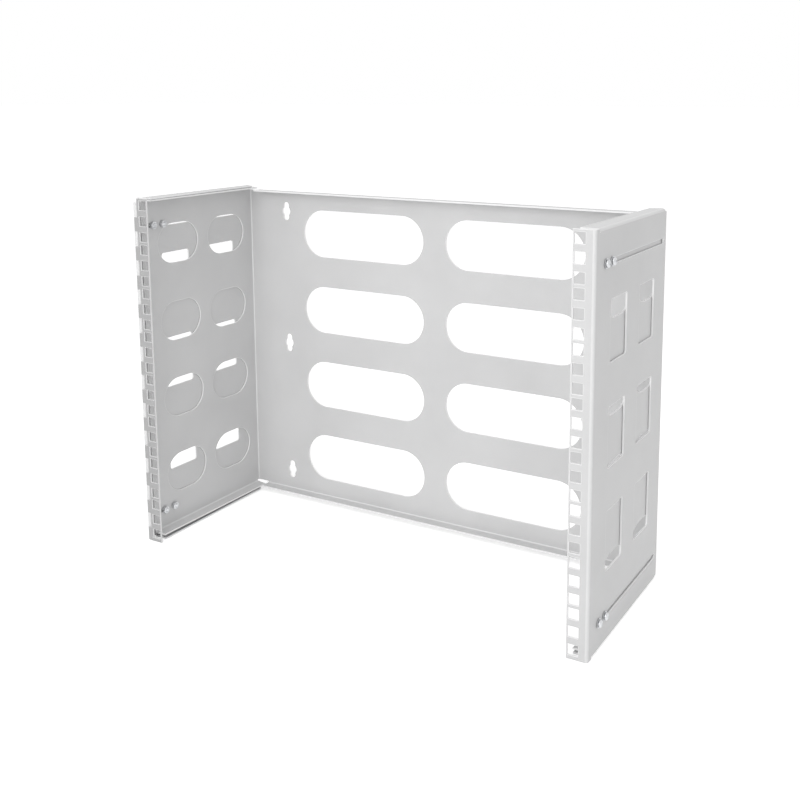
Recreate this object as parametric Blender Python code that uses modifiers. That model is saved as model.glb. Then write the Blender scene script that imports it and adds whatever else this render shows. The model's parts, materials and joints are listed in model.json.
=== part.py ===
"""Wall mount open frame rack, eight units high, made of folded steel sheet.

The wall frame is one folded sheet: a slotted back with two short sides. Two outer sides slide
forward on it, so that the rack can be made deeper. The right one carries its rack rail as a
folded flange. The left one carries its rail on a long rolled hinge, so that the equipment can
swing out.

Metres. X runs to the right, Y towards the wall, Z up. The origin is at the middle of the
underside, midway between the front of the rails and the wall.
"""
from math import atan2, cos, pi, radians, sin, sqrt

import bmesh
import bpy
from mathutils import Matrix, Vector
from mathutils.geometry import delaunay_2d_cdt

# Sheet metal
SHEET = 0.0015
BEND_RADIUS = 0.0012
SLIDE_GAP = 0.0003

# Rack standard
RACK_UNIT = 0.04445
UNITS = 8
HOLE_STEPS = (0.00635, 0.022225, 0.0381)
SQUARE_HOLE = 0.0095
CLEAR_OPENING = 0.4528

# Rails
EDGE_WEB = 0.0014
HINGE_WEB = 0.003
RAIL_BELOW_UNITS = 0.0022
RAIL_ABOVE_UNITS = 0.0006

# Long hinge at the left rail
PIN_RADIUS = 0.0008
PIN_GAP = 0.0003
KNUCKLES = 24
KNUCKLE_GAP = 0.0003
KNUCKLE_ROOT_GAP = 0.0004
HINGE_TOP_STOP = 0.0039
HINGE_BOTTOM_STOP = 0.0002
CURL_ANGLE = radians(270)

# Outer sides
DEPTH = 0.1767
SIDE_LIP_FRONT = 0.017
SIDE_LIP_REAR = 0.0135
SIDE_LIP_SETBACK = 0.0093
SIDE_LIP_SLANT = 0.006
SIDE_REAR_GAP = 0.0032
LIP_RELIEF = 0.0008
WINDOW_LENGTH = 0.0385
WINDOW_HEIGHT = 0.0527
WINDOW_CORNER = 0.0025
WINDOW_WEB_ACROSS = 0.0315
WINDOW_WEB_UP = 0.0374
WINDOW_FRONT = 0.0355
WINDOW_RISE = 0.0015
TRAVEL_SLOT_REAR_GAP = 0.0072

# Wall frame
FRAME_CLEARANCE = 0.0046
FRAME_FRONT_GAP = 0.008
FRAME_SIDE_LIP = 0.0149
FRAME_SIDE_LIP_SLANT = 0.0025
FRAME_BACK_LIP = 0.0135
LIP_CORNER_GAP = 0.0007
BACK_SLOT_LENGTH = 0.1534
BACK_SLOT_HEIGHT = 0.0516
BACK_SLOT_WEB_ACROSS = 0.0274
BACK_SLOT_WEB_UP = 0.0339
SIDE_SLOT_LENGTH = 0.058
SIDE_SLOT_HEIGHT = 0.0415
SIDE_SLOT_WEB_ACROSS = 0.0153
SIDE_SLOT_WEB_UP = 0.0411
SIDE_SLOT_FRONT = 0.0291
LEFT_SLOT_RISE = 0.0035
RIGHT_SLOT_RISE = -0.0025
LIP_CORNER_START = 0.0008
KEYHOLE_FROM_CENTRE = 0.1919
KEYHOLE_FROM_EDGE = 0.0237
KEYHOLE_RADIUS = 0.0051
KEYHOLE_SLOT_RADIUS = 0.0033
KEYHOLE_HALF_HEIGHT = 0.0099

# Least metal around a pattern of cuts
PATTERN_MARGIN = 0.01

# Fasteners
SHANK_RADIUS = 0.002
HOLE_CLEARANCE = 0.0003
SEAT_GAP = 0.0003
HEAD_RADIUS = 0.0035
HEAD_HEIGHT = 0.0024
HEAD_RIM = 0.0008
SCREW_LENGTH = 0.009
RECESS_LENGTH = 0.0036
RECESS_WIDTH = 0.0009
RECESS_DEPTH = 0.0013
WASHER_RADIUS = 0.0042
WASHER_THICKNESS = 0.0008
NUT_ACROSS_FLATS = 0.007
NUT_HEIGHT = 0.0032
CLAMP_FROM_FRONT = 0.036
LOCK_FROM_FRONT = 0.0223
LOWER_SCREWS = 0.0254
UPPER_SCREWS = 0.0294

# How far each screw has been turned
SCREW_TURNS = {
    ("clamp", "bottom"): radians(20),
    ("clamp", "top"): radians(65),
    ("lock", "bottom"): radians(50),
    ("lock", "top"): radians(8),
}

# Fineness of curves
SLOT_STEPS = 8
ROUND_STEPS = 6
FOLD_STEPS = 4
CURL_STEPS = 9
CORNER_STEPS = 3
TURN_STEPS = 12
DOME_STEPS = 4
SHARP_ANGLE = radians(35)
INSIDE_WITH_HOLES = 2
MERGE = 0.00001

# Colours and finishes
LIGHT_GREY = (0.58, 0.58, 0.585)
ZINC = (0.62, 0.62, 0.6)
STEEL = (0.5, 0.5, 0.5)

# Sizes that follow from those above
HOLE_RADIUS = SHANK_RADIUS + HOLE_CLEARANCE
BARREL_RADIUS = PIN_RADIUS + PIN_GAP + SHEET
KNUCKLE_ROOT = 2 * BARREL_RADIUS + KNUCKLE_ROOT_GAP
RAIL_WIDTH = EDGE_WEB + SQUARE_HOLE + HINGE_WEB + KNUCKLE_ROOT
OUTER_HALF = CLEAR_OPENING / 2 + RAIL_WIDTH
HOLE_COLUMN = CLEAR_OPENING / 2 + EDGE_WEB + SQUARE_HOLE / 2
OUTER_HEIGHT = UNITS * RACK_UNIT + RAIL_BELOW_UNITS + RAIL_ABOVE_UNITS
FRONT = -DEPTH / 2
WALL = DEPTH / 2
SIDE_LENGTH = DEPTH - SHEET
FRAME_HALF = OUTER_HALF - SHEET - SLIDE_GAP
FRAME_HEIGHT = OUTER_HEIGHT - 2 * FRAME_CLEARANCE
WING_TOP = OUTER_HEIGHT - SHEET - SLIDE_GAP
KEYHOLE_PITCH = FRAME_HEIGHT / 2 - KEYHOLE_FROM_EDGE
UNITS_MIDDLE = RAIL_BELOW_UNITS + UNITS * RACK_UNIT / 2
FRAME_WING = DEPTH - FRAME_FRONT_GAP
SETBACK = SHEET + BEND_RADIUS
FOLD_ZONE = pi / 2 * (BEND_RADIUS + SHEET / 2)
HINGE_X = -OUTER_HALF + BARREL_RADIUS
HINGE_Y = FRONT + BARREL_RADIUS
HINGE_HEIGHT = OUTER_HEIGHT - HINGE_TOP_STOP - HINGE_BOTTOM_STOP
CURL_RADIUS = PIN_RADIUS + PIN_GAP
CURL_LENGTH = CURL_ANGLE * (CURL_RADIUS + SHEET / 2)
SCREW_ROWS = {"bottom": LOWER_SCREWS, "top": OUTER_HEIGHT - UPPER_SCREWS}


def rectangle(x0, x1, y0, y1):
    """Corners of an upright rectangle."""
    return [(x0, y0), (x1, y0), (x1, y1), (x0, y1)]


def arc(cx, cy, radius, start, end, steps):
    """Points along an arc, both ends included."""
    angles = [start + (end - start) * i / steps for i in range(steps + 1)]
    return [(cx + radius * cos(a), cy + radius * sin(a)) for a in angles]


def circle(cx, cy, radius, steps):
    """Points around a full circle."""
    return arc(cx, cy, radius, 0, 2 * pi, steps)[:-1]


def obround(cx, cy, length, height, steps):
    """Slot with round ends, longer across than it is high."""
    radius = height / 2
    reach = length / 2 - radius
    right = arc(cx + reach, cy, radius, -pi / 2, pi / 2, steps)
    left = arc(cx - reach, cy, radius, pi / 2, 3 * pi / 2, steps)
    return right + left


def window(cx, cy, length, height, corner, steps):
    """Rectangle with small round corners."""
    points = []
    for quarter, (side_x, side_y) in enumerate(((1, -1), (1, 1), (-1, 1), (-1, -1))):
        start = -pi / 2 + quarter * pi / 2
        corner_x = cx + side_x * (length / 2 - corner)
        corner_y = cy + side_y * (height / 2 - corner)
        points += arc(corner_x, corner_y, corner, start, start + pi / 2, steps)
    return points


def keyhole(cx, cy):
    """Round hole with a narrow slot above and below it."""
    reach = sqrt(KEYHOLE_RADIUS ** 2 - KEYHOLE_SLOT_RADIUS ** 2)
    meet = atan2(reach, KEYHOLE_SLOT_RADIUS)
    end = KEYHOLE_HALF_HEIGHT - KEYHOLE_SLOT_RADIUS
    points = arc(cx, cy, KEYHOLE_RADIUS, -meet, meet, ROUND_STEPS)
    points += arc(cx, cy + end, KEYHOLE_SLOT_RADIUS, 0, pi, ROUND_STEPS)
    points += arc(cx, cy, KEYHOLE_RADIUS, pi - meet, pi + meet, ROUND_STEPS)
    points += arc(cx, cy - end, KEYHOLE_SLOT_RADIUS, pi, 2 * pi, ROUND_STEPS)
    return points


def rows_around(middle, size, web, room):
    """Centres of as many equal cuts as fit in a room around a middle."""
    pitch = size + web
    count = max(int((room + web) / pitch), 1)
    return [middle + pitch * (i - (count - 1) / 2) for i in range(count)]


def columns_behind(front_end, size, web, rear_end):
    """Centres of as many equal cuts as fit between a front end and a rear end."""
    pitch = size + web
    count = max(int((front_end - rear_end + web) / pitch), 1)
    return [front_end - size / 2 - pitch * i for i in range(count)]


def evaluated_mesh(template):
    """Mesh of an object as its modifiers leave it."""
    graph = bpy.context.evaluated_depsgraph_get()
    mesh = bpy.data.meshes.new_from_object(template.evaluated_get(graph))
    bpy.data.objects.remove(template)
    return mesh


def cut_flat(outline, holes, thickness):
    """Flat plate with holes, its underside on the XY plane.

    A constrained triangulation fills it, because the fill of a 2D curve loses its way along
    the many equal teeth of the hinge.
    """
    points = []
    rings = []
    for ring in [outline] + holes:
        rings.append(list(range(len(points), len(points) + len(ring))))
        points += [Vector(point) for point in ring]
    filled = delaunay_2d_cdt(points, [], rings, INSIDE_WITH_HOLES, MERGE / 10)
    bm = bmesh.new()
    corners = [bm.verts.new((x, y, 0)) for x, y in filled[0]]
    for face in filled[2]:
        bm.faces.new([corners[i] for i in face])
    upper = bmesh.ops.extrude_face_region(bm, geom=bm.faces[:], use_keep_orig=True)["geom"]
    raised = [item for item in upper if isinstance(item, bmesh.types.BMVert)]
    bmesh.ops.translate(bm, verts=raised, vec=(0, 0, thickness))
    bmesh.ops.recalc_face_normals(bm, faces=bm.faces)
    return bm


def fold(bm, line, direction, angle, radius, steps, reach=None):
    """Fold the sheet upwards past a line, as a press brake does.

    line is a point on the fold, direction points across it to the side that moves, and reach
    limits the fold to a stretch of the line. The sheet lies between z = 0 and z = SHEET.
    """
    start = Vector((line[0], line[1], 0))
    across = Vector((direction[0], direction[1], 0))
    along = Vector((abs(direction[1]), abs(direction[0]), 0))
    neutral = radius + SHEET / 2
    zone = angle * neutral
    for i in range(steps + 1):
        everything = bm.verts[:] + bm.edges[:] + bm.faces[:]
        cut = start + across * zone * i / steps
        bmesh.ops.bisect_plane(bm, geom=everything, plane_co=cut, plane_no=across, dist=0.000001)
    for vert in bm.verts:
        offset = vert.co - start
        past = offset.dot(across)
        if past <= 0 or (reach and not reach[0] < offset.dot(along) < reach[1]):
            continue
        turn = min(past / neutral, angle)
        rest = max(past - zone, 0)
        arm = SHEET + radius - vert.co.z
        moved = arm * sin(turn) + rest * cos(turn)
        vert.co += across * (moved - past)
        vert.co.z = SHEET + radius - arm * cos(turn) + rest * sin(turn)


def smooth_mesh(bm, name, material):
    """Mesh with its round stretches shaded smooth."""
    mesh = bpy.data.meshes.new(name)
    bm.to_mesh(mesh)
    bm.free()
    mesh.materials.append(material)
    mesh.shade_smooth()
    mesh.set_sharp_from_angle(angle=SHARP_ANGLE)
    return mesh


def put(mesh, name, home, place, parent=None):
    """Named object at a place in the world, carried by its parent."""
    piece = bpy.data.objects.new(name, mesh)
    home.objects.link(piece)
    piece.parent = parent
    piece.matrix_world = place
    bpy.context.view_layer.update()
    return piece


def sheet_piece(bm, name, material, home, place, pivot, parent=None):
    """Folded sheet whose object has its origin at the pivot."""
    to_pivot = Matrix.Translation(pivot)
    bm.transform(to_pivot.inverted() @ place)
    if place.determinant() < 0:
        bmesh.ops.reverse_faces(bm, faces=bm.faces)
    return put(smooth_mesh(bm, name, material), name, home, to_pivot, parent)


def metal(name, colour, roughness, metallic):
    """Plain surface of one sub-part."""
    material = bpy.data.materials.new(name)
    material.use_nodes = True
    shader = material.node_tree.nodes["Principled BSDF"]
    shader.inputs["Base Color"].default_value = (*colour, 1)
    shader.inputs["Roughness"].default_value = roughness
    shader.inputs["Metallic"].default_value = metallic
    material.diffuse_color = (*colour, 1)
    return material


def axes(origin, x_axis, y_axis, z_axis):
    """Matrix that lays a flat frame's axes along the given directions."""
    turn = Matrix((x_axis, y_axis, z_axis)).transposed()
    return Matrix.Translation(origin) @ turn.to_4x4()


def rail_holes(column):
    """Square holes of one rail, with the column at the given x and the height as y."""
    half = SQUARE_HOLE / 2
    units = [RAIL_BELOW_UNITS + unit * RACK_UNIT for unit in range(UNITS)]
    heights = [unit + step for unit in units for step in HOLE_STEPS]
    return [rectangle(column - half, column + half, z - half, z + half) for z in heights]


def knuckle_edge(root, tip, first):
    """Edge running up the hinge, with a tooth for every second knuckle."""
    pitch = HINGE_HEIGHT / KNUCKLES
    points = [(root, 0)]
    for i in range(first, KNUCKLES, 2):
        low = HINGE_BOTTOM_STOP + pitch * i + KNUCKLE_GAP / 2
        high = low + pitch - KNUCKLE_GAP
        points += [(root, low), (tip, low), (tip, high), (root, high)]
    points.append((root, OUTER_HEIGHT))
    return points


def side_outline(front_edge):
    """Flat outline of an outer side: x is the distance in front of its rear edge.

    The lips stand past the fold lines below and above, and a relief slit parts each of them
    from the front, which keeps the full height.
    """
    front_tip = FOLD_ZONE + SIDE_LIP_FRONT - SETBACK
    rear_tip = FOLD_ZONE + SIDE_LIP_REAR - SETBACK
    lip_front = SIDE_LENGTH - SIDE_LIP_SETBACK
    relief = lip_front + LIP_RELIEF
    lip_rear = SIDE_REAR_GAP + SIDE_LIP_SLANT
    low = SETBACK
    high = OUTER_HEIGHT - SETBACK
    outline = [(0, low), (SIDE_REAR_GAP, low), (lip_rear, low - rear_tip)]
    outline += [(lip_front, low - front_tip), (lip_front, low), (relief, low), (relief, 0)]
    outline += front_edge
    outline += [(relief, OUTER_HEIGHT), (relief, high), (lip_front, high), (lip_front, high + front_tip)]
    outline += [(lip_rear, high + rear_tip), (SIDE_REAR_GAP, high), (0, high)]
    return outline


def side_cuts():
    """Windows, adjusting slots and lock screw holes of an outer side."""
    room = SCREW_ROWS["top"] - SCREW_ROWS["bottom"] - 2 * (HOLE_RADIUS + PATTERN_MARGIN)
    rows = rows_around(UNITS_MIDDLE + WINDOW_RISE, WINDOW_HEIGHT, WINDOW_WEB_UP, room)
    front_end = SIDE_LENGTH - WINDOW_FRONT
    columns = columns_behind(front_end, WINDOW_LENGTH, WINDOW_WEB_ACROSS, PATTERN_MARGIN)
    cuts = []
    for x in columns:
        for z in rows:
            cuts.append(window(x, z, WINDOW_LENGTH, WINDOW_HEIGHT, WINDOW_CORNER, CORNER_STEPS))
    slot_front = SIDE_LENGTH - CLAMP_FROM_FRONT + HOLE_RADIUS
    slot_length = slot_front - TRAVEL_SLOT_REAR_GAP
    slot_middle = slot_front - slot_length / 2
    for z in SCREW_ROWS.values():
        cuts.append(obround(slot_middle, z, slot_length, 2 * HOLE_RADIUS, ROUND_STEPS))
        cuts.append(circle(SIDE_LENGTH - LOCK_FROM_FRONT, z, HOLE_RADIUS, 2 * ROUND_STEPS))
    return cuts


def fold_side_lips(bm):
    """Fold the bottom and top lips of an outer side inwards."""
    reach = (-SIDE_LENGTH, SIDE_LENGTH - SIDE_LIP_SETBACK + LIP_RELIEF / 2)
    fold(bm, (0, SETBACK), (0, -1), pi / 2, BEND_RADIUS, FOLD_STEPS, reach)
    fold(bm, (0, OUTER_HEIGHT - SETBACK), (0, 1), pi / 2, BEND_RADIUS, FOLD_STEPS, reach)


def side_place(sign):
    """World place of an outer side's flat frame, whose z points into the rack."""
    origin = (sign * OUTER_HALF, WALL - SHEET, 0)
    return axes(origin, (0, -1, 0), (0, 0, 1), (-sign, 0, 0))


def side_pivot(sign):
    """Where the lower clamp screw crosses an outer side."""
    return (sign * OUTER_HALF, FRONT + CLAMP_FROM_FRONT, SCREW_ROWS["bottom"])


def right_side(material, home, frame):
    """Right outer side, folded in one piece with its rack rail."""
    start = SIDE_LENGTH - SETBACK
    flange = start + FOLD_ZONE - SETBACK
    tip = flange + RAIL_WIDTH
    column = flange + OUTER_HALF - HOLE_COLUMN
    outline = side_outline([(tip, 0), (tip, OUTER_HEIGHT)])
    bm = cut_flat(outline, side_cuts() + rail_holes(column), SHEET)
    fold_side_lips(bm)
    fold(bm, (start, 0), (1, 0), pi / 2, BEND_RADIUS, FOLD_STEPS)
    return sheet_piece(bm, "right_side", material, home, side_place(1), side_pivot(1), frame)


def left_side(material, home, frame):
    """Left outer side, with every second knuckle of the long hinge rolled on its front edge."""
    start = SIDE_LENGTH - BARREL_RADIUS
    edge = knuckle_edge(SIDE_LENGTH - KNUCKLE_ROOT, start + CURL_LENGTH, 1)
    bm = cut_flat(side_outline(edge), side_cuts(), SHEET)
    fold_side_lips(bm)
    fold(bm, (start, 0), (1, 0), CURL_ANGLE, CURL_RADIUS, CURL_STEPS)
    return sheet_piece(bm, "left_side", material, home, side_place(-1), side_pivot(-1), frame)


def left_rail(material, home, side):
    """Left rack rail, which swings on the other knuckles of the long hinge."""
    start = RAIL_WIDTH - BARREL_RADIUS
    edge = knuckle_edge(RAIL_WIDTH - KNUCKLE_ROOT, start + CURL_LENGTH, 0)
    outline = [(0, 0)] + edge + [(0, OUTER_HEIGHT)]
    holes = rail_holes(HOLE_COLUMN - CLEAR_OPENING / 2)
    bm = cut_flat(outline, holes, SHEET)
    fold(bm, (start, 0), (1, 0), CURL_ANGLE, CURL_RADIUS, CURL_STEPS)
    place = axes((-CLEAR_OPENING / 2, FRONT, 0), (-1, 0, 0), (0, 0, 1), (0, 1, 0))
    return sheet_piece(bm, "left_rail", material, home, place, (HINGE_X, HINGE_Y, 0), side)


def hinge_pin(material, home, side):
    """Plain wire pin through all the knuckles."""
    bm = bmesh.new()
    bmesh.ops.create_cone(bm, cap_ends=True, segments=TURN_STEPS, radius1=PIN_RADIUS,
                          radius2=PIN_RADIUS, depth=HINGE_HEIGHT)
    place = Matrix.Translation((HINGE_X, HINGE_Y, HINGE_BOTTOM_STOP + HINGE_HEIGHT / 2))
    return put(smooth_mesh(bm, "hinge_pin", material), "hinge_pin", home, place, side)


def wing_at(from_wall):
    """Flat x of a place on the frame's right wing, from its distance to the wall."""
    return FRAME_HALF - SETBACK + FOLD_ZONE + from_wall - SETBACK


def lip_corner():
    """Flat x where the lip along the back ends, and where the one along a wing starts."""
    back_end = FRAME_HALF - FRAME_SIDE_LIP - LIP_CORNER_GAP
    return back_end, wing_at(SETBACK + LIP_CORNER_START)


def frame_outline():
    """Flat outline of the wall frame: the back in the middle and a wing at each side.

    The lips are folded first, then the wings, so the lips leave the corners free. The wings
    reach up to the lips of the outer sides, and slope down to the back behind.
    """
    low = FRAME_CLEARANCE + SETBACK
    high = FRAME_CLEARANCE + FRAME_HEIGHT - SETBACK
    back_tip = FOLD_ZONE + FRAME_BACK_LIP - SETBACK
    wing_tip = FOLD_ZONE + FRAME_SIDE_LIP - SETBACK
    wing_high = WING_TOP - SETBACK
    back_end, wing_root = lip_corner()
    wing_slant = wing_root + FRAME_SIDE_LIP_SLANT
    wing_front = wing_at(FRAME_WING)
    notch = wing_at(DEPTH - LOCK_FROM_FRONT)
    right = [(back_end, low - back_tip), (back_end, low), (wing_root, low)]
    right += [(wing_slant, low - wing_tip), (wing_front, low - wing_tip)]
    for z in SCREW_ROWS.values():
        right.append((wing_front, z - HOLE_RADIUS))
        right += arc(notch, z, HOLE_RADIUS, -pi / 2, -3 * pi / 2, ROUND_STEPS)
        right.append((wing_front, z + HOLE_RADIUS))
    right += [(wing_front, wing_high + wing_tip), (wing_slant, wing_high + wing_tip)]
    right.append((wing_root, wing_high))
    right += [(back_end, high), (back_end, high + back_tip)]
    left = [(-x, z) for x, z in reversed(right)]
    return right + left


def frame_cuts():
    """Slots, keyholes and clamp screw holes of the wall frame."""
    room_up = FRAME_HEIGHT - 2 * PATTERN_MARGIN
    room_across = 2 * (KEYHOLE_FROM_CENTRE - KEYHOLE_RADIUS - PATTERN_MARGIN)
    cuts = []
    for x in rows_around(0, BACK_SLOT_LENGTH, BACK_SLOT_WEB_ACROSS, room_across):
        for z in rows_around(UNITS_MIDDLE, BACK_SLOT_HEIGHT, BACK_SLOT_WEB_UP, room_up):
            cuts.append(obround(x, z, BACK_SLOT_LENGTH, BACK_SLOT_HEIGHT, SLOT_STEPS))
    front_end = wing_at(DEPTH - SIDE_SLOT_FRONT)
    rear_end = wing_at(PATTERN_MARGIN)
    columns = columns_behind(front_end, SIDE_SLOT_LENGTH, SIDE_SLOT_WEB_ACROSS, rear_end)
    for sign, rise in ((-1, LEFT_SLOT_RISE), (1, RIGHT_SLOT_RISE)):
        for x in columns:
            for z in rows_around(UNITS_MIDDLE + rise, SIDE_SLOT_HEIGHT, SIDE_SLOT_WEB_UP, room_up):
                cuts.append(obround(sign * x, z, SIDE_SLOT_LENGTH, SIDE_SLOT_HEIGHT, SLOT_STEPS))
        for row in (-1, 0, 1):
            cuts.append(keyhole(sign * KEYHOLE_FROM_CENTRE, UNITS_MIDDLE + row * KEYHOLE_PITCH))
        clamp_hole = sign * wing_at(DEPTH - CLAMP_FROM_FRONT)
        for z in SCREW_ROWS.values():
            cuts.append(circle(clamp_hole, z, HOLE_RADIUS, 2 * ROUND_STEPS))
    return cuts


def wall_frame(material, home):
    """Back and inner sides, folded from one sheet with a lip all round."""
    bm = cut_flat(frame_outline(), frame_cuts(), SHEET)
    low = FRAME_CLEARANCE + SETBACK
    high = FRAME_CLEARANCE + FRAME_HEIGHT - SETBACK
    corner = sum(lip_corner()) / 2
    far = wing_at(DEPTH)
    fold(bm, (0, low), (0, -1), pi / 2, BEND_RADIUS, FOLD_STEPS)
    fold(bm, (0, high), (0, 1), pi / 2, BEND_RADIUS, FOLD_STEPS, (-corner, corner))
    fold(bm, (0, WING_TOP - SETBACK), (0, 1), pi / 2, BEND_RADIUS, FOLD_STEPS, (corner, far))
    fold(bm, (0, WING_TOP - SETBACK), (0, 1), pi / 2, BEND_RADIUS, FOLD_STEPS, (-far, -corner))
    for sign in (-1, 1):
        fold(bm, (sign * (FRAME_HALF - SETBACK), 0), (sign, 0), pi / 2, BEND_RADIUS, FOLD_STEPS)
    place = axes((0, WALL, 0), (1, 0, 0), (0, 0, 1), (0, -1, 0))
    return sheet_piece(bm, "wall_frame", material, home, place, (0, WALL, 0))


def box_cutter(length, width, depth):
    """Box for one arm of a cross recess, centred on the top of a screw's head."""
    bm = bmesh.new()
    bmesh.ops.create_cube(bm, size=1)
    bmesh.ops.scale(bm, verts=bm.verts, vec=(length, width, 2 * depth))
    bmesh.ops.translate(bm, verts=bm.verts, vec=(0, 0, HEAD_HEIGHT))
    mesh = bpy.data.meshes.new("recess_cutter")
    bm.to_mesh(mesh)
    bm.free()
    cutter = bpy.data.objects.new("recess_cutter", mesh)
    bpy.context.scene.collection.objects.link(cutter)
    return cutter


def screw_mesh(material):
    """Pan head screw with a cross recess; z = 0 is the underside of its head."""
    dome = HEAD_HEIGHT - HEAD_RIM
    quarter = [pi / 2 * i / DOME_STEPS for i in range(DOME_STEPS + 1)]
    profile = [(HEAD_RADIUS * sin(a), HEAD_RIM + dome * cos(a)) for a in quarter]
    profile += [(HEAD_RADIUS, 0), (SHANK_RADIUS, 0), (SHANK_RADIUS, -SCREW_LENGTH), (0, -SCREW_LENGTH)]
    mesh = bpy.data.meshes.new("screw_profile")
    edges = [(i, i + 1) for i in range(len(profile) - 1)]
    mesh.from_pydata([(x, 0, z) for x, z in profile], edges, [])
    template = bpy.data.objects.new("screw_profile", mesh)
    bpy.context.scene.collection.objects.link(template)
    turn = template.modifiers.new("turn", "SCREW")
    turn.steps = TURN_STEPS
    turn.render_steps = TURN_STEPS
    turn.use_merge_vertices = True
    turn.merge_threshold = MERGE
    arms = [(RECESS_LENGTH, RECESS_WIDTH), (RECESS_WIDTH, RECESS_LENGTH)]
    cutters = [box_cutter(length, width, RECESS_DEPTH) for length, width in arms]
    for cutter in cutters:
        cut = template.modifiers.new("recess", "BOOLEAN")
        cut.operation = "DIFFERENCE"
        cut.object = cutter
    bpy.context.view_layer.update()
    bm = bmesh.new()
    bm.from_mesh(evaluated_mesh(template))
    for cutter in cutters:
        bpy.data.objects.remove(cutter)
    return smooth_mesh(bm, "screw", material)


def washer_mesh(material):
    """Flat washer whose z = 0 face lies on the sheet."""
    outline = circle(0, 0, WASHER_RADIUS, TURN_STEPS)
    hole = circle(0, 0, HOLE_RADIUS, TURN_STEPS)
    return smooth_mesh(cut_flat(outline, [hole], WASHER_THICKNESS), "washer", material)


def nut_mesh(material):
    """Hexagon nut that hangs below z = 0, the face that bears on the sheet."""
    outline = circle(0, 0, NUT_ACROSS_FLATS / sqrt(3), 6)
    hole = circle(0, 0, HOLE_RADIUS, TURN_STEPS)
    bm = cut_flat(outline, [hole], NUT_HEIGHT)
    bmesh.ops.translate(bm, verts=bm.verts, vec=(0, 0, -NUT_HEIGHT))
    return smooth_mesh(bm, "nut", material)


def fastener_set(kind, sign, row, from_front, meshes, home, carrier):
    """One screw with its washer outside and its nut inside."""
    side = "right" if sign > 0 else "left"
    outward = Vector((sign, 0, 0))
    upright = outward.to_track_quat("Z", "Y").to_matrix()
    turn = Matrix.Rotation(SCREW_TURNS[kind, row] * sign, 3, outward) @ upright
    centre = Vector((0, FRONT + from_front, SCREW_ROWS[row]))
    seats = {
        "screw": OUTER_HALF + 2 * SEAT_GAP + WASHER_THICKNESS,
        "washer": OUTER_HALF + SEAT_GAP,
        "nut": FRAME_HALF - SHEET - SEAT_GAP,
    }
    for part, seat in seats.items():
        place = Matrix.Translation(centre + outward * seat) @ turn.to_4x4()
        put(meshes[part], f"{kind}_{part}_{side}_{row}", home, place, carrier)


def build_rack():
    """Every piece of the rack, in one collection."""
    for old in list(bpy.data.objects):
        bpy.data.objects.remove(old)
    home = bpy.data.collections.new("wall_mount_open_frame_rack")
    bpy.context.scene.collection.children.link(home)
    frame = wall_frame(metal("wall_frame_coat", LIGHT_GREY, 0.45, 0), home)
    sides = {
        1: right_side(metal("right_side_coat", LIGHT_GREY, 0.45, 0), home, frame),
        -1: left_side(metal("left_side_coat", LIGHT_GREY, 0.45, 0), home, frame),
    }
    left_rail(metal("left_rail_coat", LIGHT_GREY, 0.45, 0), home, sides[-1])
    hinge_pin(metal("pin_steel", STEEL, 0.35, 1), home, sides[-1])
    meshes = {
        "screw": screw_mesh(metal("screw_zinc", ZINC, 0.3, 1)),
        "washer": washer_mesh(metal("washer_zinc", ZINC, 0.35, 1)),
        "nut": nut_mesh(metal("nut_zinc", ZINC, 0.35, 1)),
    }
    for sign, side in sides.items():
        for row in SCREW_ROWS:
            fastener_set("clamp", sign, row, CLAMP_FROM_FRONT, meshes, home, frame)
            fastener_set("lock", sign, row, LOCK_FROM_FRONT, meshes, home, side)


build_rack()
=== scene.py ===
# %% [markdown]
# A wall mount open frame rack, eight units high
#
# Network gear that is 19 inches wide hangs in this frame on a wall. The whole rack is sheet steel,
# punched flat, folded on a press brake and then powder coated in light grey. This lesson builds it
# the same way: every piece starts as a flat blank with its holes, and is then folded or rolled.
# The packed model gives the place and the outer size of each piece, and this scene gives each its
# fine shape, its finish, and the light.

import json
from math import atan2, cos, degrees, pi, radians, sin, sqrt, tan

import bmesh
import bpy
from mathutils import Matrix, Vector
from mathutils.geometry import delaunay_2d_cdt

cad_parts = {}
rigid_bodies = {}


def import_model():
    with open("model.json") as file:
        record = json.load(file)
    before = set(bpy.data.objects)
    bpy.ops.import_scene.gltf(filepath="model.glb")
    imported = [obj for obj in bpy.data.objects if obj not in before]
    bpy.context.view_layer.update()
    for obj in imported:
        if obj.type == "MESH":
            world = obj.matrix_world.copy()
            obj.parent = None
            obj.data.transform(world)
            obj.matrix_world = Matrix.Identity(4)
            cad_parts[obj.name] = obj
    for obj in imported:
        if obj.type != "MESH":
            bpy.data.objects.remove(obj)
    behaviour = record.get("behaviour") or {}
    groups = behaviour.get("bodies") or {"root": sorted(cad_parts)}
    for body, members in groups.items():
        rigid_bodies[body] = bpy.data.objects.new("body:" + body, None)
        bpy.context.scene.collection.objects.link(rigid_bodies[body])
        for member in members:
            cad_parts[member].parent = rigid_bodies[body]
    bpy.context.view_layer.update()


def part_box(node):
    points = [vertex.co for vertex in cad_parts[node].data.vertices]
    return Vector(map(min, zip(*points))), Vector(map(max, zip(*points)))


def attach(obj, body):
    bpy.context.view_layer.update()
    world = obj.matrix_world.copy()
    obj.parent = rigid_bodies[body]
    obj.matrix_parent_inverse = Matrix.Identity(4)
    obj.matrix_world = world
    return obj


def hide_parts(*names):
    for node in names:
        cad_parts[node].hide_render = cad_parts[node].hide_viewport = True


for old in list(bpy.data.objects):
    bpy.data.objects.remove(old)
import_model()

# %% [markdown]
# The main extents are read from the packed pieces, so that the dressed rack fits them to a hair.
# X runs to the right, Y towards the wall and Z up, and all lengths are in metres.

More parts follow.
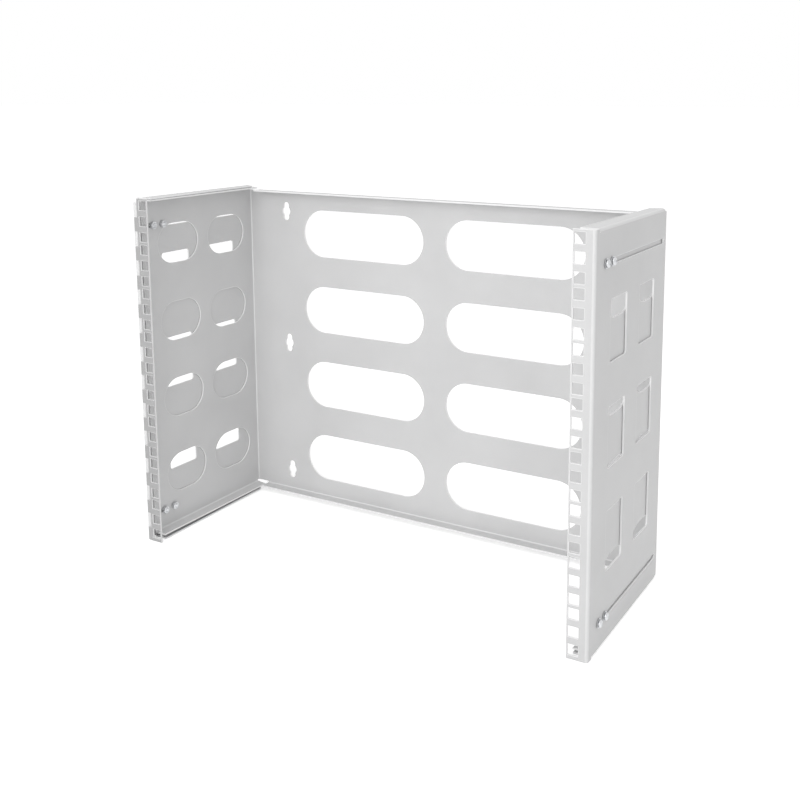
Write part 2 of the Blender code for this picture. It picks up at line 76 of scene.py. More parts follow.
# %% Main extents
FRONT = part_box("left_rail")[0].y
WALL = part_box("wall_frame")[1].y
OUTER_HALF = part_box("right_side")[1].x
OUTER_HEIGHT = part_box("right_side")[1].z
FRAME_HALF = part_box("wall_frame")[1].x
FRAME_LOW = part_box("wall_frame")[0].z
FRAME_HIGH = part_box("wall_frame")[1].z
DEPTH = WALL - FRONT
print(f"{2000 * OUTER_HALF:.1f} mm wide, {1000 * DEPTH:.1f} deep, {1000 * OUTER_HEIGHT:.1f} high")

# %% [markdown]
# Sheet steel of one and a half millimetres bends round a small radius at the brake. Powder paint
# draws back from a cut edge and leaves it softly round, which catches the light along every slot;
# a painted highlight there adds to it. The rack standard fixes the rest: 44.45 mm for a unit,
# and three square holes in it.

# %% Sheet and rack sizes
SHEET = 0.0015
BEND_RADIUS = 0.0012
EDGE_ROUNDING = 0.00025
EDGE_STEPS = 4
EDGE_SUPPORT = 0.0003
SETBACK = SHEET + BEND_RADIUS
FOLD_ZONE = pi / 2 * (BEND_RADIUS + SHEET / 2)
RACK_UNIT = 0.04445
UNITS = 8
HOLE_STEPS = (0.00635, 0.022225, 0.0381)
SQUARE_HOLE = 0.0095
SQUARE_CORNER = 0.0004
SQUARE_CORNER_STEPS = 3
RAIL_START = 0.0022
CLEAR_HALF = 0.2264
EDGE_WEB = 0.0014
RAIL_WIDTH = OUTER_HALF - CLEAR_HALF
HOLE_COLUMN = CLEAR_HALF + EDGE_WEB + SQUARE_HOLE / 2
UNITS_MIDDLE = RAIL_START + UNITS * RACK_UNIT / 2
print(f"a rail is {1000 * RAIL_WIDTH:.1f} mm wide, its holes {2000 * HOLE_COLUMN:.1f} mm apart")

# %% [markdown]
# Outlines are drawn as lists of points, the way a laser cutter follows them. Four shapes are
# enough for every hole in this rack: a circle, a slot with round ends, a rectangle with round
# corners, and the keyhole that drops over a wall screw.

# %% Outlines


def arc(cx, cy, radius, start, end, steps):
    """Points along an arc, both ends included."""
    angles = [start + (end - start) * i / steps for i in range(steps + 1)]
    return [(cx + radius * cos(a), cy + radius * sin(a)) for a in angles]


def circle(cx, cy, radius, steps):
    """Points around a full circle."""
    return arc(cx, cy, radius, 0, 2 * pi, steps)[:-1]


def obround(length, height, steps):
    """Slot with round ends, about the origin."""
    reach = length / 2 - height / 2
    right = arc(reach, 0, height / 2, -pi / 2, pi / 2, steps)
    left = arc(-reach, 0, height / 2, pi / 2, 3 * pi / 2, steps)
    return right + left


def window(length, height, corner, steps, cy=0):
    """Rectangle with round corners, about the Y axis."""
    points = []
    for quarter, (side_x, side_y) in enumerate(((1, -1), (1, 1), (-1, 1), (-1, -1))):
        start = -pi / 2 + quarter * pi / 2
        corner_x = side_x * (length / 2 - corner)
        corner_y = cy + side_y * (height / 2 - corner)
        points += arc(corner_x, corner_y, corner, start, start + pi / 2, steps)
    return points


def keyhole(radius, slot_radius, half_height, steps):
    """Round hole with a narrow slot above and below it."""
    reach = sqrt(radius ** 2 - slot_radius ** 2)
    meet = atan2(reach, slot_radius)
    end = half_height - slot_radius
    points = arc(0, 0, radius, -meet, meet, steps)
    points += arc(0, end, slot_radius, 0, pi, steps)
    points += arc(0, 0, radius, pi - meet, pi + meet, steps)
    points += arc(0, -end, slot_radius, pi, 2 * pi, steps)
    return points


print("a slot has", len(obround(0.06, 0.04, 24)), "points")

# %% [markdown]
# Node trees read better as sums. The small class below wraps the output socket of a node, so that
# adding or multiplying two of them adds the Math node that does it, and one function adds any
# other node. Both serve the trees that make shapes and, further on, the materials.

# %% Node maths


class Wire:
    """Output socket of a node that takes part in Python expressions."""

    def __init__(self, tree, socket):
        self.tree = tree
        self.socket = socket

    def maths(self, operation, first, second):
        """Math node on two values."""
        node = self.tree.nodes.new("ShaderNodeMath")
        node.operation = operation
        for socket, value in zip(node.inputs, (first, second)):
            feed(socket, value)
        return Wire(self.tree, node.outputs[0])

    def __add__(self, other):
        return self.maths("ADD", self, other)

    def __radd__(self, other):
        return self.maths("ADD", other, self)

    def __sub__(self, other):
        return self.maths("SUBTRACT", self, other)

    def __rsub__(self, other):
        return self.maths("SUBTRACT", other, self)

    def __mul__(self, other):
        return self.maths("MULTIPLY", self, other)

    def __rmul__(self, other):
        return self.maths("MULTIPLY", other, self)


def feed(socket, value):
    """Puts a value on an input socket, or the link that a wire stands for."""
    if isinstance(value, Wire):
        value.tree.links.new(value.socket, socket)
    else:
        socket.default_value = value


def add_node(tree, kind, settings=(), output=0, **values):
    """Wire from a new node: its settings come first, then the values or links of its sockets."""
    node = tree.nodes.new(kind)
    for key, value in dict(settings).items():
        setattr(node, key, value)
    for key, value in values.items():
        feed(node.inputs[key.replace("_", " ")], value)
    return Wire(tree, node.outputs[output])


trial = bpy.data.node_groups.new("trial", "GeometryNodeTree")
trial_sum = 1 + 2 * add_node(trial, "ShaderNodeValue")
print("the trial expression ends in a node named", trial_sum.socket.node.name)
bpy.data.node_groups.remove(trial)

# %% [markdown]
# A turret punch makes holes in a pattern: one tool, stepped over rows and columns. That is what
# instances are for. The tree below lays out a grid of points, puts one outline on each of them,
# and realizes the copies, so that Python can read every ring of the pattern from one mesh.
# Typing each hole by hand would work too, but the pitch would then be hidden in the numbers.

# %% A tree that repeats a punched outline


def new_tree(name, inputs):
    """Geometry node group with named inputs, a wire from each of them, and its output node."""
    tree = bpy.data.node_groups.new(name, "GeometryNodeTree")
    tree.interface.new_socket("Geometry", in_out="INPUT", socket_type="NodeSocketGeometry")
    for label, kind in inputs.items():
        tree.interface.new_socket(label, in_out="INPUT", socket_type=kind)
    tree.interface.new_socket("Geometry", in_out="OUTPUT", socket_type="NodeSocketGeometry")
    start = tree.nodes.new("NodeGroupInput")
    given = {socket.name: Wire(tree, socket) for socket in start.outputs}
    return tree, given, tree.nodes.new("NodeGroupOutput")


def finish_tree(tree, copies, finish, end):
    """Real copies with their finish, at the end of a tree."""
    real = add_node(tree, "GeometryNodeRealizeInstances", Geometry=copies)
    done = add_node(tree, "GeometryNodeSetMaterial", Geometry=real, Material=finish)
    feed(end.inputs[0], done)


def punch_pattern_tree():
    """Tree that steps one punch over rows and columns about a middle."""
    tree, given, end = new_tree("punch_pattern", {
        "Punch": "NodeSocketObject",
        "Columns": "NodeSocketInt",
        "Rows": "NodeSocketInt",
        "Column pitch": "NodeSocketFloat",
        "Row pitch": "NodeSocketFloat",
        "Middle": "NodeSocketVector",
        "Finish": "NodeSocketMaterial",
    })
    length = (given["Columns"] - 1) * given["Column pitch"]
    height = (given["Rows"] - 1) * given["Row pitch"]
    grid = add_node(tree, "GeometryNodeMeshGrid", Size_X=length, Size_Y=height,
                    Vertices_X=given["Columns"], Vertices_Y=given["Rows"])
    placed = add_node(tree, "GeometryNodeTransform", Geometry=grid, Translation=given["Middle"])
    punch = add_node(tree, "GeometryNodeObjectInfo", output="Geometry", Object=given["Punch"])
    copies = add_node(tree, "GeometryNodeInstanceOnPoints", Points=placed, Instance=punch)
    finish_tree(tree, copies, given["Finish"], end)
    return tree


PUNCH_PATTERN = punch_pattern_tree()
print("punching tree has", len(PUNCH_PATTERN.nodes), "nodes")

# %% Run a tree and read the pattern


def link_object(name, data):
    """New object in the scene."""
    made = bpy.data.objects.new(name, data)
    bpy.context.scene.collection.objects.link(made)
    return made


def evaluated_mesh(carrier):
    """Plain mesh of an object as its modifiers leave it."""
    bpy.context.view_layer.update()
    graph = bpy.context.evaluated_depsgraph_get()
    return bpy.data.meshes.new_from_object(carrier.evaluated_get(graph))


def grown(tree, name, start_mesh, **values):
    """Plain mesh that a tree makes from its inputs, with the modifier gone."""
    carrier = link_object(name, start_mesh)
    nodes = carrier.modifiers.new("grow", "NODES")
    nodes.node_group = tree
    wanted = {key.replace("_", " "): value for key, value in values.items()}
    for item in tree.interface.items_tree:
        if item.in_out == "INPUT" and item.name in wanted:
            nodes[item.identifier] = wanted[item.name]
    mesh = evaluated_mesh(carrier)
    bpy.data.objects.remove(carrier)
    return mesh


def punched(outlines, middle, grid=(1, 1), pitch=(0, 0)):
    """Rings of a group of outlines, stepped over a grid of columns and rows about a middle."""
    corners = [(x, y, 0) for ring in outlines for x, y in ring]
    tool_mesh = bpy.data.meshes.new("punch")
    tool_mesh.from_pydata(corners, [], [])
    tool = link_object("punch", tool_mesh)
    pattern = grown(PUNCH_PATTERN, "pattern", bpy.data.meshes.new("pattern"), Punch=tool,
                    Columns=grid[0], Rows=grid[1], Column_pitch=float(pitch[0]),
                    Row_pitch=float(pitch[1]), Middle=(*middle, 0))
    points = [(vertex.co.x, vertex.co.y) for vertex in pattern.vertices]
    bpy.data.objects.remove(tool)
    rings = []
    while points:
        for ring in outlines:
            rings.append(points[:len(ring)])
            points = points[len(ring):]
    return rings


test_rings = punched([circle(0, 0, 0.01, 8)], (0.1, 0.2), (2, 3), (0.05, 0.04))
print(len(test_rings), "rings, the first starts at", test_rings[0][0])

# %% [markdown]
# A blank is one closed body: a top, an underside, and walls round the outline and every hole.
# A bevel would be the usual way to soften the rims, but on a plate with hundreds of edge points
# it makes overlapping corners. Here each ring is drawn again a little further into the metal
# and a little higher, so the walls curve into the flat faces by themselves. One last ring, still
# further in, keeps the flat faces truly flat when they are shaded smooth. A value on each point
# says how much of a cut edge it is, and the paint lays a painted highlight there.

# %% Flat blanks with soft rims
SMALLEST = 0.000001
INSIDE_WITH_HOLES = 2


def turn_left(ring):
    """The same ring, running counterclockwise."""
    pairs = zip(ring, ring[1:] + ring[:1])
    area = sum(a[0] * b[1] - b[0] * a[1] for a, b in pairs)
    return ring if area > 0 else ring[::-1]


def widened(ring, distance):
    """Ring with every side moved outwards by a distance."""
    corners = [Vector(point) for point in ring]
    moved = []
    for i, here in enumerate(corners):
        before = (here - corners[i - 1]).normalized()
        after = (corners[(i + 1) % len(corners)] - here).normalized()
        away = Vector((before.y + after.y, -before.x - after.x))
        moved.append(here + away * distance / (1 + before.dot(after)))
    return moved


def rim_profile():
    """How far into the metal and how high each ring of a wall lies, from below to above."""
    quarter = [pi / 2 * i / EDGE_STEPS for i in range(EDGE_STEPS + 1)]
    low = [(EDGE_ROUNDING * (1 - sin(a)), EDGE_ROUNDING * (1 - cos(a))) for a in quarter]
    high = [(inset, SHEET - z) for inset, z in reversed(low)]
    inner = EDGE_ROUNDING + EDGE_SUPPORT
    return [(inner, 0)] + low + high + [(inner, SHEET)]


def skin(bm, rings, closed=False):
    """Quads between rings of equally many points, which may close on the first ring."""
    pairs = list(zip(rings, rings[1:]))
    if closed:
        pairs.append((rings[-1], rings[0]))
    for lower, upper in pairs:
        for i in range(len(lower)):
            bm.faces.new((lower[i - 1], lower[i], upper[i], upper[i - 1]))


def blank(outline, holes):
    """Flat sheet with soft rims; its underside lies on the XY plane."""
    bm = bmesh.new()
    edge = bm.verts.layers.float.new("edge")
    walls = []
    for number, ring in enumerate([outline] + holes):
        into_metal = 1 if number else -1
        points = turn_left(ring)
        wall = []
        for inset, z in rim_profile():
            moved = widened(points, into_metal * inset)
            wall.append([bm.verts.new((point.x, point.y, z)) for point in moved])
        # The rim points get the full edge value, which the paint shows as a painted highlight.
        for level in wall[1:-1]:
            for corner in level:
                corner[edge] = 1
        skin(bm, wall)
        walls.append(wall)
    for level in (0, -1):
        rims = [wall[level] for wall in walls]
        corners = [corner for rim in rims for corner in rim]
        starts = [sum(len(rim) for rim in rims[:i]) for i in range(len(rims))]
        rings = [list(range(start, start + len(rim))) for start, rim in zip(starts, rims)]
        flat = [corner.co.xy for corner in corners]
        faces, origins = delaunay_2d_cdt(flat, [], rings, INSIDE_WITH_HOLES, SMALLEST)[2:4]
        for face in faces:
            bm.faces.new([corners[origins[i][0]] for i in face])
    bmesh.ops.recalc_face_normals(bm, faces=bm.faces)
    return bm


test_square = [(0, 0), (0.1, 0), (0.1, 0.1), (0, 0.1)]
test_blank = blank(test_square, punched([circle(0, 0, 0.01, 24)], (0.05, 0.05)))
open_edges = [edge for edge in test_blank.edges if not edge.is_manifold]
print("a test blank has", len(test_blank.faces), "faces,", len(open_edges), "of its edges open")
test_blank.free()

# %% [markdown]
# A press brake turns one part of the sheet up about a line and leaves the rest where it is. The
# helper cuts fine lines across the bend, then moves each point to where the bend carries it, with
# the middle of the sheet keeping its length. Two more cuts just outside the bend keep the flats
# flat, and the bend itself is marked as an edge in part, for a painted highlight along it. The
# same helper rolls a hinge knuckle, because that is a bend of three quarters of a turn.

# %% Folding
FOLD_STEPS = 10
ROLL_STEPS = 30
# The next value is how much painted highlight a bend gets, as a share of a cut edge's.
BEND_HIGHLIGHT = 0.45


def fold(bm, line, direction, angle, radius, steps, reach=None):
    """Folds the sheet upwards past a line. The reach limits it to a stretch of that line."""
    start = Vector((line[0], line[1], 0))
    across = Vector((direction[0], direction[1], 0))
    along = Vector((abs(direction[1]), abs(direction[0]), 0))
    edge = bm.verts.layers.float["edge"]
    neutral = radius + SHEET / 2
    zone = angle * neutral
    cuts = [-EDGE_SUPPORT] + [zone * i / steps for i in range(steps + 1)] + [zone + EDGE_SUPPORT]
    for cut in cuts:
        everything = bm.verts[:] + bm.edges[:] + bm.faces[:]
        bmesh.ops.bisect_plane(bm, geom=everything, plane_co=start + across * cut,
                               plane_no=across, dist=SMALLEST)
    for vert in bm.verts:
        offset = vert.co - start
        past = offset.dot(across)
        if past <= 0 or (reach and not reach[0] < offset.dot(along) < reach[1]):
            continue
        # Points within the bend get part of the edge value: a painted highlight along the bend.
        if past < zone:
            vert[edge] = max(vert[edge], BEND_HIGHLIGHT)
        turn = min(past / neutral, angle)
        rest = max(past - zone, 0)
        arm = SHEET + radius - vert.co.z
        moved = arm * sin(turn) + rest * cos(turn)
        vert.co += across * (moved - past)
        vert.co.z = SHEET + radius - arm * cos(turn) + rest * sin(turn)


def square_fold(bm, line, direction, reach=None):
    """Folds the sheet to a right angle, round the radius of the brake."""
    fold(bm, line, direction, pi / 2, BEND_RADIUS, FOLD_STEPS, reach)


def axes(origin, x_axis, y_axis, z_axis):
    """Matrix that lays a blank's axes along the given directions."""
    turn = Matrix((x_axis, y_axis, z_axis)).transposed()
    return Matrix.Translation(origin) @ turn.to_4x4()


print(f"a right angle takes {1000 * FOLD_ZONE:.2f} mm of flat sheet")

# %% [markdown]
# Every piece ends the same way: its mesh is put in its place, its round stretches are shaded
# smooth, and it is tied to the body that carries it, while the packed solids it stands for are
# hidden.

# %% From a working mesh to a piece of the rack
SHARP_ANGLE = radians(32)


def mesh_from(bm, name):
    """Mesh that takes over a working mesh."""
    mesh = bpy.data.meshes.new(name)
    bm.to_mesh(mesh)
    bm.free()
    return mesh


def piece(name, source, finish, body, nodes, place=None):
    """Finished piece of the rack that rides on a body and stands for packed nodes."""
    if isinstance(source, bmesh.types.BMesh):
        source.transform(place)
        bmesh.ops.recalc_face_normals(source, faces=source.faces)
        source = mesh_from(source, name)
    source.materials.clear()
    source.materials.append(finish)
    source.shade_smooth()
    source.set_sharp_from_angle(angle=SHARP_ANGLE)
    made = link_object(name, source)
    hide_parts(*nodes)
    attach(made, body)
    source.calc_loop_triangles()
    print(name, "has", len(source.loop_triangles), "triangles")


print("edges sharper than", round(degrees(SHARP_ANGLE)), "degrees stay sharp")

# %% [markdown]
# A material is a node tree too, so the same wires serve it. The class below keeps a material
# together with its surface shader, and has one method for each thing that a finish needs here.
# What varies over a surface feeds its colour, its roughness and its relief. What is the same all
# over is set as a plain number on the shader's own socket.

# %% Materials, node by node
MIX_COLOURS = slice(6, 8)
MIX_RESULT = 2


class Finish:
    """Material whose nodes are added one by one."""

    def __init__(self, name):
        self.material = bpy.data.materials.new(name)
        self.material.use_nodes = True
        self.tree = self.material.node_tree
        self.surface = self.tree.nodes["Principled BSDF"]

    def node(self, kind, settings=(), output=0, **values):
        """Any node: its settings first, then the values or links of its sockets."""
        return add_node(self.tree, kind, settings, output, **values)

    def noise(self, place, scale, detail):
        """Cloudy value between nought and one."""
        return self.node("ShaderNodeTexNoise", Vector=place, Scale=scale, Detail=detail)

    def stretched(self, value, low, high):
        """Value whose range from low to high is stretched from nought to one."""
        return self.node("ShaderNodeMapRange", Value=value, From_Min=low, From_Max=high)

    def blend(self, factor, first, second):
        """Colour between two colours."""
        mixed = self.node("ShaderNodeMix", {"data_type": "RGBA"}, MIX_RESULT, Factor=factor)
        sockets = mixed.socket.node.inputs[MIX_COLOURS]
        for socket, value in zip(sockets, (first, second)):
            feed(socket, value if isinstance(value, Wire) else (*value, 1))
        return mixed

    def wire(self, label, value):
        """Value or link on one socket of the surface."""
        feed(self.surface.inputs[label], value)

    def relief(self, height, distance, strength):
        """Bump that feeds the surface's normal."""
        bump = self.node("ShaderNodeBump", Height=height, Distance=distance, Strength=strength)
        self.wire("Normal", bump)


def object_place(finish, scale=(1, 1, 1)):
    """Coordinates fixed to the object, stretched by a scale."""
    place = finish.node("ShaderNodeTexCoord", output="Object")
    return finish.node("ShaderNodeMapping", Vector=place, Scale=scale)


print("a finish can", [word for word in vars(Finish) if not word.startswith("_")])

# %% [markdown]
# Light grey powder paint is a satin skin. Close up it has a fine orange peel, waves about a
# millimetre long and some hundredths high, and finer grains between them. From further off
# the film is a little thicker or thinner here and there, which shifts its grey by a shade.
# All three are noise in the piece's own coordinates, so they stay put when a side slides. The
# value that the blanks keep on each point lays a painted highlight on the cut edges and the bends.
# The hinged rail is given darker greys.

# %% Powder coat
# Each coat's edge grey is a painted highlight, blended in on cut edges and bends.
COAT = {"dark": (0.60, 0.60, 0.603), "light": (0.66, 0.66, 0.662), "edge": (0.88, 0.88, 0.882)}
RAIL_COAT = {"dark": (0.37, 0.37, 0.372), "light": (0.42, 0.42, 0.422), "edge": (0.72, 0.72, 0.722)}
PEEL = {"scale": 700, "detail": 2}
GRAIN = {"scale": 2600, "detail": 1}
FILM = {"scale": 14, "detail": 3}
FILM_IN_TONE = 0.7
TONE_RANGE = (0.3, 0.7)
PAINT_ROUGHNESS = 0.38
FILM_ROUGHNESS = 0.1
GRAIN_ROUGHNESS = 0.06
CLEAR_SKIN = 0.25
CLEAR_SKIN_ROUGHNESS = 0.2
PEEL_IN_RELIEF = 0.8
PEEL_HEIGHT = 0.00006
PEEL_STRENGTH = 0.6


def powder_coat(name, dark, light, edge):
    """Satin paint on steel, between two shades of grey, with a painted highlight on cut edges and
    bends.
    """
    finish = Finish(name)
    place = object_place(finish)
    peel = finish.noise(place, **PEEL)
    grain = finish.noise(place, **GRAIN)
    film = finish.noise(place, **FILM)
    tone = film * FILM_IN_TONE + grain * (1 - FILM_IN_TONE)
    film_colour = finish.blend(finish.stretched(tone, *TONE_RANGE), dark, light)
    # The edge value blends in the edge grey: a painted highlight on cut edges and bends.
    edge_highlight = finish.node("ShaderNodeAttribute", {"attribute_name": "edge"}, "Fac")
    finish.wire("Base Color", finish.blend(edge_highlight, film_colour, edge))
    roughness = PAINT_ROUGHNESS + film * FILM_ROUGHNESS + grain * GRAIN_ROUGHNESS
    finish.wire("Roughness", roughness)
    finish.wire("Metallic", 0.0)
    finish.wire("Coat Weight", CLEAR_SKIN)
    finish.wire("Coat Roughness", CLEAR_SKIN_ROUGHNESS)
    bumps = peel * PEEL_IN_RELIEF + grain * (1 - PEEL_IN_RELIEF)
    finish.relief(bumps, PEEL_HEIGHT, PEEL_STRENGTH)
    return finish.material


coat = powder_coat("light_grey_powder_coat", **COAT)
rail_coat = powder_coat("rail_powder_coat", **RAIL_COAT)
print("powder coat uses", len(coat.node_tree.nodes), "nodes")

# %% [markdown]
# Small screws, washers and nuts are zinc plated: bright, a touch blue, with fine turning marks
# and a faint cloudiness where the plating bath left it. The hinge pin is drawn wire, with
# scratches that run along it, so its noise is stretched along Z.

# %% Zinc and drawn wire
ZINC = {
    "light": (0.74, 0.75, 0.76),
    "dark": (0.6, 0.61, 0.63),
    "stretch": (6, 1, 1),
    "mark_scale": 900,
    "roughness": 0.22,
}
DRAWN_WIRE = {
    "light": (0.62, 0.61, 0.6),
    "dark": (0.48, 0.47, 0.46),
    "stretch": (1, 1, 0.05),
    "mark_scale": 2400,
    "roughness": 0.25,
}
MARK_DETAIL = 3
CLOUDS = {"scale": 260, "detail": 2}
MARKS_IN_TONE = 0.5
METAL_TONE_RANGE = (0.35, 0.65)
MARK_ROUGHNESS = 0.14
MARK_HEIGHT = 0.00001
MARK_STRENGTH = 0.5


def bright_metal(name, light, dark, stretch, mark_scale, roughness):
    """Plated or drawn metal with marks along one direction."""
    finish = Finish(name)
    marks = finish.noise(object_place(finish, stretch), mark_scale, MARK_DETAIL)
    clouds = finish.noise(object_place(finish), **CLOUDS)
    tone = marks * MARKS_IN_TONE + clouds * (1 - MARKS_IN_TONE)
    finish.wire("Base Color", finish.blend(finish.stretched(tone, *METAL_TONE_RANGE), dark, light))
    finish.wire("Roughness", roughness + marks * MARK_ROUGHNESS)
    finish.wire("Metallic", 1.0)
    finish.relief(marks, MARK_HEIGHT, MARK_STRENGTH)
    return finish.material


zinc = bright_metal("bright_zinc", **ZINC)
wire_steel = bright_metal("drawn_wire_steel", **DRAWN_WIRE)
print("metals:", zinc.name, wire_steel.name)

# %% [markdown]
# The wall frame is one sheet: a back panel with eight big slots, a wing folded forward at each
# side, and a lip folded in along the top and bottom of all three. The lips go up first and the
# wings after them, so the lips stop short of the corners. The wings stand a little higher than
# the back, close under the lips of the outer sides, and their edge slopes down to it round the
# corner. They carry smaller slots, the holes of the clamp screws, and open notches for the lock
# screws.

# %% Sizes of the wall frame
FRAME_FRONT_GAP = 0.008
WING_LIP = 0.0149
WING_LIP_SLANT = 0.0025
BACK_LIP = 0.0135
LIP_CORNER_GAP = 0.0007
LIP_CORNER_START = 0.0008
CLAMP_FROM_FRONT = 0.036
LOCK_FROM_FRONT = 0.0223
LOWER_SCREWS = 0.0254
UPPER_SCREWS = 0.0294
SCREW_ROWS = {"bottom": LOWER_SCREWS, "top": OUTER_HEIGHT - UPPER_SCREWS}
SCREW_ROW_PITCH = SCREW_ROWS["top"] - SCREW_ROWS["bottom"]
SCREW_ROWS_MIDDLE = (SCREW_ROWS["top"] + SCREW_ROWS["bottom"]) / 2
SCREW_HOLE = 0.0023
SLOT_STEPS = 30
HOLE_ROUND = 28
LOW = FRAME_LOW + SETBACK
BACK_HIGH = OUTER_HEIGHT - LOW
WING_HIGH = FRAME_HIGH - SETBACK


def wing_at(from_wall):
    """Place across the flat blank of a point on the wing, from its distance to the wall."""
    return FRAME_HALF - SETBACK + FOLD_ZONE + from_wall - SETBACK


def lip_corner():
    """Where across the blank the lip of the back ends, and where that of a wing starts."""
    return FRAME_HALF - WING_LIP - LIP_CORNER_GAP, wing_at(SETBACK + LIP_CORNER_START)


def wall_frame_outline():
    """Outline of the flat blank, drawn for the right half and mirrored."""
    back_tip = FOLD_ZONE + BACK_LIP - SETBACK
    wing_tip = FOLD_ZONE + WING_LIP - SETBACK
    back_end, wing_root = lip_corner()
    wing_slant = wing_root + WING_LIP_SLANT
    wing_front = wing_at(DEPTH - FRAME_FRONT_GAP)
    notch = wing_at(DEPTH - LOCK_FROM_FRONT)
    right = [(back_end, LOW - back_tip), (back_end, LOW), (wing_root, LOW)]
    right += [(wing_slant, LOW - wing_tip), (wing_front, LOW - wing_tip)]
    for z in SCREW_ROWS.values():
        right.append((wing_front, z - SCREW_HOLE))
        right += arc(notch, z, SCREW_HOLE, -pi / 2, -3 * pi / 2, SLOT_STEPS // 2)
        right.append((wing_front, z + SCREW_HOLE))
    right += [(wing_front, WING_HIGH + wing_tip), (wing_slant, WING_HIGH + wing_tip)]
    right += [(wing_root, WING_HIGH), (back_end, BACK_HIGH), (back_end, BACK_HIGH + back_tip)]
    return right + [(-x, z) for x, z in reversed(right)]


print("the blank is", round(2000 * wing_at(DEPTH - FRAME_FRONT_GAP)), "mm across")

# %% Holes of the wall frame
SLOT_GRID = (2, 4)
BACK_SLOT = (0.1534, 0.0516)
BACK_SLOT_PITCH = (0.1808, 0.0855)
WING_SLOT = (0.058, 0.0415)
WING_SLOT_PITCH = (0.0733, 0.0826)
WING_SLOT_FRONT = 0.0291
WING_SLOT_RISES = {"left": 0.0035, "right": -0.0025}
KEYHOLE_GRID = (2, 3)
KEYHOLE_PITCH = (0.3838, 0.1509)
KEYHOLE = {"radius": 0.0051, "slot_radius": 0.0033, "half_height": 0.0099, "steps": 14}


def wall_frame_holes():
    """Every ring that is punched out of the wall frame's blank."""
    middle = (0, UNITS_MIDDLE)
    rings = punched([obround(*BACK_SLOT, SLOT_STEPS)], middle, SLOT_GRID, BACK_SLOT_PITCH)
    rings += punched([keyhole(**KEYHOLE)], middle, KEYHOLE_GRID, KEYHOLE_PITCH)
    slots_middle = wing_at(DEPTH - WING_SLOT_FRONT) - (WING_SLOT[0] + WING_SLOT_PITCH[0]) / 2
    slot = obround(*WING_SLOT, SLOT_STEPS)
    for sign, side in ((-1, "left"), (1, "right")):
        middle = (sign * slots_middle, UNITS_MIDDLE + WING_SLOT_RISES[side])
        rings += punched([slot], middle, SLOT_GRID, WING_SLOT_PITCH)
    clamp_pitch = (2 * wing_at(DEPTH - CLAMP_FROM_FRONT), SCREW_ROW_PITCH)
    clamp_hole = circle(0, 0, SCREW_HOLE, HOLE_ROUND)
    rings += punched([clamp_hole], (0, SCREW_ROWS_MIDDLE), (2, 2), clamp_pitch)
    return rings


frame_rings = wall_frame_holes()
print(len(frame_rings), "holes in the wall frame")

# %% Fold the wall frame


def build_wall_frame():
    """Back and wings, folded from one sheet with a lip all round."""
    bm = blank(wall_frame_outline(), frame_rings)
    square_fold(bm, (0, LOW), (0, -1))
    corner = sum(lip_corner()) / 2
    far = wing_at(DEPTH)
    square_fold(bm, (0, BACK_HIGH), (0, 1), (-corner, corner))
    square_fold(bm, (0, WING_HIGH), (0, 1), (corner, far))
    square_fold(bm, (0, WING_HIGH), (0, 1), (-far, -corner))
    for sign in (-1, 1):
        square_fold(bm, (sign * (FRAME_HALF - SETBACK), 0), (sign, 0))
    place = axes((0, WALL, 0), (1, 0, 0), (0, 0, 1), (0, -1, 0))
    piece("wall_frame_panel", bm, coat, "frame_body", ["wall_frame"], place)


build_wall_frame()

# %% [markdown]
# The two outer sides slide forward on the wall frame, so the rack can be made deeper. Each has
# six windows, two long slots for the clamp screws and two lock screw holes. Its lips taper to the
# rear and end a little behind the front, where a slit parts them from the flange, so the front
# keeps its full height.

# %% Sizes of an outer side
SIDE_LENGTH = DEPTH - SHEET
SIDE_LIP_FRONT = 0.017
SIDE_LIP_REAR = 0.0135
SIDE_LIP_SETBACK = 0.0093
SIDE_LIP_SLANT = 0.006
SIDE_REAR_GAP = 0.0032
LIP_RELIEF = 0.0008
SIDE_WINDOW_GRID = (2, 3)
SIDE_WINDOW = (0.0385, 0.0527)
SIDE_WINDOW_PITCH = (0.07, 0.0901)
SIDE_WINDOW_FRONT = 0.0355
SIDE_WINDOW_RISE = 0.0015
SIDE_WINDOW_CORNER = 0.0025
SIDE_WINDOW_CORNER_STEPS = 8
TRAVEL_SLOT_REAR_GAP = 0.0072


def side_outline(front_edge):
    """Flat outline of an outer side: x is the distance in front of its rear edge."""
    front_tip = FOLD_ZONE + SIDE_LIP_FRONT - SETBACK
    rear_tip = FOLD_ZONE + SIDE_LIP_REAR - SETBACK
    lip_front = SIDE_LENGTH - SIDE_LIP_SETBACK
    lip_rear = SIDE_REAR_GAP + SIDE_LIP_SLANT
    relief = lip_front + LIP_RELIEF
    low = SETBACK
    high = OUTER_HEIGHT - SETBACK
    outline = [(0, low), (SIDE_REAR_GAP, low), (lip_rear, low - rear_tip)]
    outline += [(lip_front, low - front_tip), (lip_front, low), (relief, low), (relief, 0)]
    outline += front_edge
    outline += [(relief, OUTER_HEIGHT), (relief, high), (lip_front, high)]
    outline += [(lip_front, high + front_tip), (lip_rear, high + rear_tip), (SIDE_REAR_GAP, high)]
    outline.append((0, high))
    return outline


